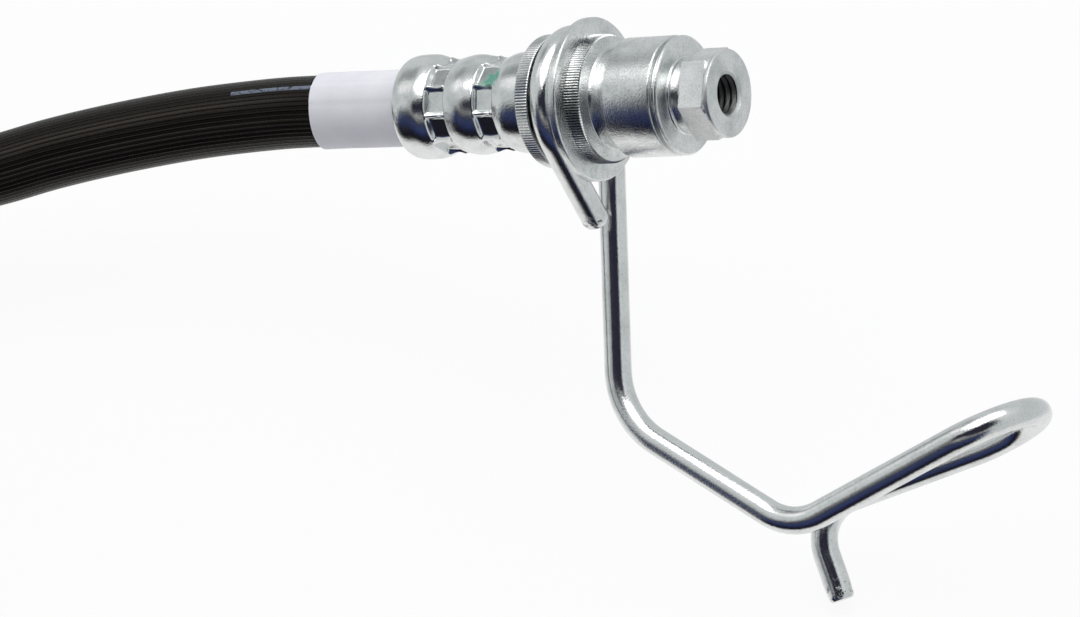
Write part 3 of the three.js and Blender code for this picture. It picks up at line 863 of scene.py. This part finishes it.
def plating_group():
    """Zinc plating: a fine sandy grain, faint turning rings and duller passive patches."""
    tree, given, result = new_group(
        "zinc plating",
        [
            ("Bright", "NodeSocketColor", (0.86, 0.87, 0.865, 1.0)),
            ("Dull", "NodeSocketColor", (0.62, 0.65, 0.64, 1.0)),
            ("Grain Scale", "NodeSocketFloat", 4200.0),
            ("Grain", "NodeSocketFloat", 0.3),
            ("Speckle", "NodeSocketFloat", 0.15),
            ("Rings", "NodeSocketFloat", 0.4),
            ("Smooth", "NodeSocketFloat", 0.16),
            ("Rough", "NodeSocketFloat", 0.34),
        ],
        [("Color", "NodeSocketColor"), ("Roughness", "NodeSocketFloat"), ("Height", "NodeSocketFloat")],
    )
    place = object_place(tree)
    along = surface_place(tree)[1]
    grain = noise_node(tree, place, 1.0, 3.0, 0.65)
    tree.links.new(given.outputs["Grain Scale"], grain.node.inputs["Scale"])
    patches = noise_node(tree, place, 240.0, 4.0, 0.6)
    rings = noise_node(tree, along, 7.0, 3.0, 0.7, "1D")
    dull = range_node(tree, patches, 0.42, 0.7)
    colour = mix_colours(tree, dull, given.outputs["Bright"], given.outputs["Dull"])
    speck = range_node(tree, grain, 0.53, 0.66, 0.0, given.outputs["Speckle"])
    colour = mix_colours(tree, speck, colour, (0.38, 0.4, 0.4, 1.0))
    spark = range_node(tree, grain, 0.44, 0.32, 0.0, given.outputs["Speckle"])
    colour = mix_colours(tree, spark, colour, (0.97, 0.97, 0.97, 1.0))
    rough = math_node(tree, "ADD", dull, grain)
    rough = range_node(tree, rough, 0.2, 1.6)
    rough_low = math_node(tree, "SUBTRACT", given.outputs["Rough"], given.outputs["Smooth"])
    rough = math_node(tree, "MULTIPLY_ADD", rough, rough_low, given.outputs["Smooth"])
    grain_height = math_node(tree, "MULTIPLY", grain, given.outputs["Grain"])
    ring_height = math_node(tree, "MULTIPLY", rings, given.outputs["Rings"])
    tree.links.new(colour, result.inputs["Color"])
    tree.links.new(rough, result.inputs["Roughness"])
    tree.links.new(math_node(tree, "ADD", grain_height, ring_height), result.inputs["Height"])
    return tree


plating = plating_group()


def plated_material(name, bump=0.35, **values):
    """Zinc plated steel, with the plating's own inputs given by name."""
    material, tree, shader = new_material(name)
    finish = use_group(tree, plating, **values)
    add_bump(tree, shader, finish.outputs["Height"], bump, 0.00008)
    tree.links.new(finish.outputs["Color"], shader.inputs["Base Color"])
    tree.links.new(finish.outputs["Roughness"], shader.inputs["Roughness"])
    shader.inputs["Metallic"].default_value = 1.0
    return material


HOSE_RIBS = 48.0
DASH_TURN = 0.266
DASH_HALF_WIDTH = 0.0105
DASH_PERIOD = 98.0
DASH_MIDDLE = 31.0
DASH_HALF_LENGTH = 14.5


def rubber_material():
    """Black hose cover with fine ribs along it, painted shade in the grooves between them, and a pale
    printed dash on one rib.
    """
    material, tree, shader = new_material("ribbed black rubber")
    turn, along = surface_place(tree)
    place = object_place(tree)
    rib_and_groove_shade = math_node(tree, "PINGPONG", math_node(tree, "MULTIPLY", turn, HOSE_RIBS), 0.5)
    rib_and_groove_shade = range_node(tree, rib_and_groove_shade, 0.03, 0.2)
    grain = noise_node(tree, place, 2600.0, 3.0, 0.6)
    dust = noise_node(tree, place, 160.0, 4.0, 0.6)
    height = math_node(tree, "MULTIPLY_ADD", grain, 0.12, rib_and_groove_shade)
    add_bump(tree, shader, height, 0.8, 0.00012)
    # Painted shade: the grooves between the ribs are darker than the rib crests.
    colour = mix_colours(tree, rib_and_groove_shade, (0.0012, 0.001, 0.001, 1.0), (0.0062, 0.005, 0.0045, 1.0))
    colour = mix_colours(
        tree, range_node(tree, dust, 0.5, 0.8, 0.0, 0.25), colour, (0.016, 0.013, 0.012, 1.0)
    )
    off = math_node(tree, "ABSOLUTE", math_node(tree, "SUBTRACT", turn, DASH_TURN))
    line = math_node(tree, "LESS_THAN", off, DASH_HALF_WIDTH)
    dash = math_node(tree, "SUBTRACT", math_node(tree, "MODULO", along, DASH_PERIOD), DASH_MIDDLE)
    dash = math_node(tree, "LESS_THAN", math_node(tree, "ABSOLUTE", dash), DASH_HALF_LENGTH)
    worn = range_node(tree, noise_node(tree, place, 1500.0, 2.0), 0.3, 0.5)
    line = math_node(tree, "MULTIPLY", math_node(tree, "MULTIPLY", line, dash), worn)
    colour = mix_colours(tree, line, colour, (0.18, 0.21, 0.27, 1.0))
    tree.links.new(colour, shader.inputs["Base Color"])
    tree.links.new(range_node(tree, grain, 0.2, 0.8, 0.22, 0.33), shader.inputs["Roughness"])
    shader.inputs["Specular IOR Level"].default_value = 0.2
    shader.inputs["Specular Tint"].default_value = (1.0, 0.88, 0.78, 1.0)
    return material


def paper_material():
    """White paper with a faint wave where it was smoothed down."""
    material, tree, shader = new_material("white label paper")
    place = object_place(tree)
    fibre = noise_node(tree, place, 2400.0, 4.0, 0.6)
    wave = noise_node(tree, place, 260.0, 2.0, 0.5)
    colour = mix_colours(
        tree, range_node(tree, wave, 0.35, 0.7), (0.88, 0.87, 0.92, 1.0), (0.83, 0.82, 0.88, 1.0)
    )
    tree.links.new(colour, shader.inputs["Base Color"])
    tree.links.new(range_node(tree, fibre, 0.2, 0.8, 0.5, 0.68), shader.inputs["Roughness"])
    add_bump(tree, shader, math_node(tree, "MULTIPLY_ADD", wave, 2.0, fibre), 0.3, 0.0001)
    return material


def nylon_material():
    """White nylon, slightly hazy."""
    material, tree, shader = new_material("white nylon")
    place = object_place(tree)
    haze = noise_node(tree, place, 300.0, 3.0, 0.5)
    colour = mix_colours(tree, haze, (0.78, 0.77, 0.73, 1.0), (0.7, 0.7, 0.67, 1.0))
    tree.links.new(colour, shader.inputs["Base Color"])
    tree.links.new(range_node(tree, haze, 0.3, 0.7, 0.35, 0.5), shader.inputs["Roughness"])
    shader.inputs["Subsurface Weight"].default_value = 0.1
    shader.inputs["Subsurface Radius"].default_value = (0.001, 0.001, 0.001)
    return material


PAINT_PLACE = (-11.0, 3.7, 6.2)
PAINT_COLOUR = (0.02, 0.3, 0.2, 1.0)
PAINT_COVER = 0.85


def finish_of(material):
    """The material's tree and shader, and what its plating gives for colour and roughness."""
    tree = material.node_tree
    shader = tree.nodes["Principled BSDF"]
    metal = shader.inputs["Base Color"].links[0].from_socket
    rough = shader.inputs["Roughness"].links[0].from_socket
    return tree, shader, metal, rough


def ferrule_material():
    """The same plating, with a smear of green inspection paint on the second crimp."""
    material = plated_material(
        "plated crimped steel", 0.35, Grain_Scale=3800.0, Grain=0.8, Rings=0.1, Smooth=0.06, Rough=0.16
    )
    tree, shader, metal, rough = finish_of(material)
    place = object_place(tree)
    spot = (fitting_frame @ Vector(PAINT_PLACE)) * MM
    offset = vector_node(tree, "DISTANCE", place, spot)
    ragged = noise_node(tree, place, 900.0, 4.0, 0.7)
    reach = math_node(tree, "MULTIPLY_ADD", ragged, -0.0026, offset.outputs["Value"])
    mask = range_node(tree, reach, 0.0008, 0.0001, 0.0, PAINT_COVER)
    rough = math_node(tree, "MAXIMUM", rough, math_node(tree, "MULTIPLY", mask, 0.5))
    tree.links.new(mix_colours(tree, mask, metal, PAINT_COLOUR), shader.inputs["Base Color"])
    tree.links.new(rough, shader.inputs["Roughness"])
    tree.links.new(math_node(tree, "SUBTRACT", 1.0, mask), shader.inputs["Metallic"])
    return material


def place_along(tree, frame_matrix):
    """How far a point lies along a frame's own axis, in metres."""
    axis = frame_matrix.to_3x3() @ Vector((1.0, 0.0, 0.0))
    dot = vector_node(tree, "DOT_PRODUCT", object_place(tree), axis)
    start = axis.dot(frame_matrix.to_translation()) * MM
    return math_node(tree, "SUBTRACT", dot.outputs["Value"], start)


def reach_from_axis(tree, frame_matrix, along):
    """How far a point lies from a frame's own axis, in metres."""
    offset = vector_node(tree, "DISTANCE", object_place(tree), frame_matrix.to_translation() * MM)
    square = math_node(tree, "POWER", offset.outputs["Value"], 2.0)
    along_square = math_node(tree, "MULTIPLY", along, along)
    return math_node(tree, "SQRT", math_node(tree, "SUBTRACT", square, along_square))


def between(tree, value, low, high):
    """1 where a value lies between two bounds, else 0."""
    above = math_node(tree, "GREATER_THAN", value, low)
    return math_node(tree, "MULTIPLY", above, math_node(tree, "LESS_THAN", value, high))


def painted_valley_shade(tree, along, reach):
    """Painted shade: how dark the valleys are painted in the collar's knurl and in the ring of teeth beside
    the flange.
    """
    turn = surface_place(tree)[0]
    turn = math_node(tree, "MULTIPLY_ADD", turn, float(TEETH), HEX_TURN * TEETH / 360.0)
    valley = math_node(tree, "MULTIPLY_ADD", math_node(tree, "FRACT", turn), 2.0, -1.0)
    valley = range_node(tree, math_node(tree, "ABSOLUTE", valley), 0.45, 0.95)
    toothed = 0.0
    for (low, high, crest), dark in ((COLLAR, 0.25), (SERRATION, 0.75)):
        band = between(tree, along, low * MM, high * MM)
        skin = between(tree, reach, (crest - 0.5) * MM, (crest + 0.2) * MM)
        band = math_node(tree, "MULTIPLY", math_node(tree, "MULTIPLY", band, skin), dark)
        toothed = math_node(tree, "MAXIMUM", toothed, band)
    return math_node(tree, "MULTIPLY", valley, toothed)


def fitting_material():
    """Turned and plated, with a matt milled hex and a rougher port thread darkened by painted shade."""
    material = plated_material(
        "plated turned steel",
        0.45,
        Grain_Scale=3800.0,
        Grain=1.1,
        Speckle=0.36,
        Rings=0.45,
        Smooth=0.07,
        Rough=0.2,
    )
    tree, shader, metal, rough = finish_of(material)
    along = place_along(tree, fitting_frame)
    milled = range_node(tree, along, 19.9 * MM, 20.2 * MM, 0.0, 0.24)
    reach = reach_from_axis(tree, fitting_frame, along)
    # Painted shade darkens the valleys between the teeth.
    metal = mix_colours(tree, painted_valley_shade(tree, along, reach), metal, (0.1, 0.105, 0.105, 1.0))
    # Painted shade: the port thread inside the hole is darkened, and made rougher.
    shaded_hole_reach = range_node(tree, reach, 3.5 * MM, 3.2 * MM)
    port = math_node(tree, "MULTIPLY", shaded_hole_reach, range_node(tree, along, 24.7 * MM, 24.2 * MM))
    rough = math_node(tree, "ADD", rough, milled)
    rough = math_node(tree, "MULTIPLY_ADD", port, 0.15, rough)
    tree.links.new(mix_colours(tree, port, metal, (0.16, 0.165, 0.16, 1.0)), shader.inputs["Base Color"])
    tree.links.new(rough, shader.inputs["Roughness"])
    return material


def wire_material():
    """Plated wire with pits and scores where the cutter and the bender gripped it."""
    material = plated_material(
        "plated spring wire",
        0.35,
        Dull=(0.73, 0.75, 0.74, 1.0),
        Grain_Scale=3800.0,
        Grain=0.8,
        Speckle=0.25,
        Rings=0.02,
        Smooth=0.08,
        Rough=0.16,
    )
    tree, shader, metal, _ = finish_of(material)
    along = surface_place(tree)[1]
    last = even_steps(wire_line(), WIRE_STEP)[1][-1]
    near_tail = range_node(tree, along, 3.6, 1.4)
    near_foot = range_node(tree, along, last - 3.4, last - 1.4)
    near = math_node(tree, "MAXIMUM", near_tail, near_foot)
    pits = noise_node(tree, object_place(tree), 1100.0, 3.0, 0.6)
    pits = math_node(tree, "MULTIPLY", range_node(tree, pits, 0.57, 0.64), near)
    colour = mix_colours(tree, math_node(tree, "MULTIPLY", pits, 0.85), metal, (0.1, 0.1, 0.1, 1.0))
    tree.links.new(colour, shader.inputs["Base Color"])
    bump = shader.inputs["Normal"].links[0].from_node
    height = bump.inputs["Height"].links[0].from_socket
    height = math_node(tree, "MULTIPLY_ADD", pits, -1.5, height)
    tree.links.new(height, bump.inputs["Height"])
    return material


def give(piece, material):
    piece.data.materials.clear()
    piece.data.materials.append(material)


give(fitting, fitting_material())
give(bracket, wire_material())
give(ferrule, ferrule_material())
plated_far_end = plated_material("plated far end", 0.35, Grain=0.35, Rings=0.3, Smooth=0.16, Rough=0.32)
give(far_ferrule, plated_far_end)
give(banjo, plated_far_end)
give(hose, rubber_material())
give(label, paper_material())
give(tie, nylon_material())

# Floor and light

FLOOR_REACH = 1.5
FLOOR_GLOW = 0.92


def add_floor():
    """A pale floor that keeps the shadow faintly and is nearly white to the camera."""
    mesh = bpy.data.meshes.new("floor")
    ways = ((-1, -1), (1, -1), (1, 1), (-1, 1))
    mesh.from_pydata([(x * FLOOR_REACH, y * FLOOR_REACH, 0.0) for x, y in ways], [], [(0, 1, 2, 3)])
    floor = bpy.data.objects.new("floor", mesh)
    bpy.context.scene.collection.objects.link(floor)
    material, tree, shader = new_material("pale floor")
    shader.inputs["Base Color"].default_value = (0.86, 0.86, 0.86, 1.0)
    shader.inputs["Roughness"].default_value = 0.7
    glow = tree.nodes.new("ShaderNodeEmission")
    glow.inputs["Color"].default_value = (1.0, 1.0, 1.0, 1.0)
    path = tree.nodes.new("ShaderNodeLightPath")
    mix = tree.nodes.new("ShaderNodeMixShader")
    tree.links.new(math_node(tree, "MULTIPLY", path.outputs["Is Camera Ray"], FLOOR_GLOW), mix.inputs[0])
    tree.links.new(shader.outputs[0], mix.inputs[1])
    tree.links.new(glow.outputs[0], mix.inputs[2])
    tree.links.new(mix.outputs[0], tree.nodes["Material Output"].inputs["Surface"])
    mesh.materials.append(material)
    floor.visible_glossy = False


TOP_LIGHT_PLACE = (-0.1, 0.15, 0.9)
TOP_LIGHT_AIM = (0.0, 0.0, 0.03)
TOP_LIGHT_SIZE = (0.9, 0.7)
TOP_LIGHT_POWER = 4.0


def add_top_light():
    data = bpy.data.lights.new("top light", "AREA")
    data.shape = "RECTANGLE"
    data.size, data.size_y = TOP_LIGHT_SIZE
    data.energy = TOP_LIGHT_POWER
    light = bpy.data.objects.new("top light", data)
    light.location = TOP_LIGHT_PLACE
    way = Vector(TOP_LIGHT_AIM) - Vector(TOP_LIGHT_PLACE)
    light.rotation_euler = way.to_track_quat("-Z", "Y").to_euler()
    bpy.context.scene.collection.objects.link(light)


def bearing(degrees):
    """A level direction, counted round from +X."""
    return (math.cos(math.radians(degrees)), math.sin(math.radians(degrees)), 0.0)


def aim_at(degrees, rise):
    """A direction at a bearing and an elevation."""
    lift = math.radians(rise)
    level = bearing(degrees)
    return (level[0] * math.cos(lift), level[1] * math.cos(lift), math.sin(lift))


def facing(tree, way, aim, edge, full):
    """1 where a direction lies within full degrees of the aim, and 0 beyond edge degrees."""
    dot = vector_node(tree, "DOT_PRODUCT", way, aim).outputs["Value"]
    spread = range_node(tree, dot, math.cos(math.radians(edge)), math.cos(math.radians(full)))
    spread.node.interpolation_type = "SMOOTHSTEP"
    return spread


def height_ramp(tree, height, stops):
    """A colour for each elevation in degrees."""
    ramp = tree.nodes.new("ShaderNodeValToRGB")
    tree.links.new(range_node(tree, height, -90.0, 90.0), ramp.inputs[0])
    while len(ramp.color_ramp.elements) < len(stops):
        ramp.color_ramp.elements.new(0.5)
    for element, (degrees, colour) in zip(ramp.color_ramp.elements, stops):
        element.position = (degrees + 90.0) / 180.0
        element.color = (*colour, 1.0)
    return ramp.outputs["Color"]


# The colour at each elevation in degrees, for the room and for the gap at its front left
ROOM_STOPS = (
    (-90.0, (0.85, 0.85, 0.85)),
    (-42.0, (0.85, 0.85, 0.85)),
    (-24.0, (0.6, 0.62, 0.63)),
    (30.0, (0.58, 0.61, 0.62)),
    (60.0, (0.75, 0.76, 0.77)),
    (90.0, (0.8, 0.8, 0.8)),
)
GAP_STOPS = (
    (-90.0, (0.85, 0.85, 0.85)),
    (-45.0, (0.8, 0.8, 0.8)),
    (-39.0, (0.012, 0.011, 0.013)),
    (-22.0, (0.012, 0.012, 0.02)),
    (-14.0, (0.024, 0.034, 0.1)),
    (2.0, (0.042, 0.054, 0.125)),
    (9.0, (0.03, 0.035, 0.055)),
    (13.0, (0.1, 0.1, 0.1)),
    (22.0, (0.45, 0.46, 0.45)),
    (45.0, (0.6, 0.62, 0.62)),
    (90.0, (0.8, 0.8, 0.8)),
)
GAP_BEARING = 247.0
GAP_EDGE = 56.0
GAP_FULL = 43.0

# Each patch of the room, in degrees: its bearing, its elevation, and how far from its middle it
# ends and is still full
DIM_PATCH = (131.0, 26.0, 20.0, 8.0)
DIM_SHARE = 0.6
DIM_COLOUR = (0.2, 0.21, 0.21, 1.0)
SOFTBOX = (158.0, 32.0, 15.0, 9.0)
SOFTBOX_COLOUR = (0.98, 0.98, 0.98, 1.0)
DARK_PATCHES = ((270.0, 50.0, 33.0, 25.0), (246.0, 45.0, 20.0, 14.0), (222.0, 35.0, 17.0, 11.0))
DARK_COLOUR = (0.024, 0.024, 0.04, 1.0)


def patch_share(tree, way, patch):
    degrees, rise, edge, full = patch
    return facing(tree, way, aim_at(degrees, rise), edge, full)


def light_world():
    """A pale room over a white table, with a dark blue gap at the front left, a softbox and dark patches."""
    world = bpy.data.worlds.new("studio")
    bpy.context.scene.world = world
    world.use_nodes = True
    tree = world.node_tree
    back = tree.nodes["Background"]
    way = tree.nodes.new("ShaderNodeTexCoord").outputs["Generated"]
    split = tree.nodes.new("ShaderNodeSeparateXYZ")
    tree.links.new(way, split.inputs[0])
    height = math_node(tree, "DEGREES", math_node(tree, "ARCSINE", split.outputs["Z"]))
    level = tree.nodes.new("ShaderNodeCombineXYZ")
    tree.links.new(split.outputs["X"], level.inputs[0])
    tree.links.new(split.outputs["Y"], level.inputs[1])
    level_way = vector_node(tree, "NORMALIZE", level.outputs[0]).outputs[0]
    room = height_ramp(tree, height, ROOM_STOPS)
    gap = height_ramp(tree, height, GAP_STOPS)
    in_gap = facing(tree, level_way, bearing(GAP_BEARING), GAP_EDGE, GAP_FULL)
    colour = mix_colours(tree, in_gap, room, gap)
    dim = math_node(tree, "MULTIPLY", patch_share(tree, way, DIM_PATCH), DIM_SHARE)
    colour = mix_colours(tree, dim, colour, DIM_COLOUR)
    colour = mix_colours(tree, patch_share(tree, way, SOFTBOX), colour, SOFTBOX_COLOUR)
    shade = 0.0
    for patch in DARK_PATCHES:
        shade = math_node(tree, "MAXIMUM", shade, patch_share(tree, way, patch))
    colour = mix_colours(tree, shade, colour, DARK_COLOUR)
    plain = tree.nodes.new("ShaderNodeBackground")
    plain.inputs["Color"].default_value = (1.0, 1.0, 1.0, 1.0)
    path = tree.nodes.new("ShaderNodeLightPath")
    mix = tree.nodes.new("ShaderNodeMixShader")
    tree.links.new(colour, back.inputs["Color"])
    tree.links.new(path.outputs["Is Camera Ray"], mix.inputs[0])
    tree.links.new(back.outputs[0], mix.inputs[1])
    tree.links.new(plain.outputs[0], mix.inputs[2])
    tree.links.new(mix.outputs[0], tree.nodes["World Output"].inputs["Surface"])


add_floor()
light_world()
add_top_light()

bpy.context.scene.view_settings.view_transform = "Standard"
